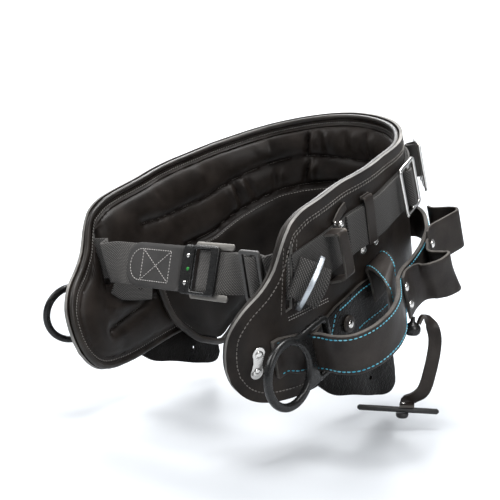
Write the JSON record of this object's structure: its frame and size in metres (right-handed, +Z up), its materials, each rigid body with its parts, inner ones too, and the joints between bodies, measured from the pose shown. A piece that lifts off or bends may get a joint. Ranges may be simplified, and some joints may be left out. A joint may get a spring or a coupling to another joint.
{
  "type": "lineman belt",
  "caption": "Padded leather body belt with quilted lining, front webbing buckle, forged dee rings, stitched tool band, leather tool loops and a hanging T-bar strap.",
  "frame": {"origin": "centre of the waist loop, level with the middle of the front webbing before the belt is pitched", "axes": "+Z up as the belt hangs, front buckle towards -Y, wearer's left hip towards +X; the wearer's own axis leans 21 degrees from +Z towards -Y, because the belt hangs front down"},
  "size_m": [0.3956, 0.4076, 0.3201],
  "materials": {
    "shell_leather": "black leather, lightly worn",
    "binding_leather": "rolled black leather edge",
    "lining_leather": "soft black lining leather over padding",
    "strap_leather": "black strap leather with raw edges",
    "tab_leather": "dark grey stitched leather",
    "black_webbing": "black woven webbing",
    "grey_webbing": "dark grey woven webbing",
    "nickel": "bright nickel",
    "zinc_steel": "zinc plated",
    "black_metal": "gloss black, forged",
    "green_mark": "small painted mark"
  },
  "bodies": {
    "root": {"accessory_ring": "zinc_steel", "back_buckle_front": "nickel", "back_buckle_rear": "nickel", "back_web": "black_webbing", "buckle_bar": "black_metal", "buckle_frame": "black_metal", "buckle_web_front": "black_webbing", "buckle_web_rear": "black_webbing", "dee_hanger_right": "strap_leather", "dee_ring_left": "black_metal", "dee_ring_right": "black_metal", "divider_strap": "strap_leather", "edge_binding": "binding_leather", "front_web_left": "grey_webbing", "front_web_right": "grey_webbing", "hood_strap": "strap_leather", "inner_pad": "lining_leather", "inner_pad_piping": "binding_leather", "keeper_rivet_front": "nickel", "keeper_rivet_rear": "nickel", "keeper_strap": "strap_leather", "latch_plate": "black_metal", "latch_rivet_lower": "nickel", "latch_rivet_upper": "nickel", "leather_tab": "tab_leather", "lining_pad": "lining_leather", "lock_mark": "green_mark", "loop_rivet_lower": "nickel", "loop_rivet_rear": "nickel", "loop_rivet_upper": "nickel", "outer_shell": "shell_leather", "outer_web": "black_webbing", "pad_strap": "black_webbing", "plate_rivet_left_lower": "nickel", "plate_rivet_left_upper": "nickel", "plate_rivet_right_lower": "nickel", "plate_rivet_right_upper": "nickel", "rivet_plate_left": "nickel", "rivet_plate_right": "nickel", "rivet_washer": "strap_leather", "steel_ear_lower": "zinc_steel", "steel_ear_upper": "zinc_steel", "strap_knot": "black_metal", "strap_slider": "black_metal", "stud": "nickel", "stud_strip": "strap_leather", "tbar": "black_metal", "tbar_rivet": "nickel", "tbar_strap": "strap_leather", "tbar_washer": "black_metal", "tool_apron_left": "strap_leather", "tool_apron_right": "strap_leather", "tool_band": "strap_leather", "tool_loop_front": "strap_leather", "tool_loop_rear": "strap_leather", "washer_rivet": "nickel", "web_fold": "black_webbing"}
  },
  "joints": []
}
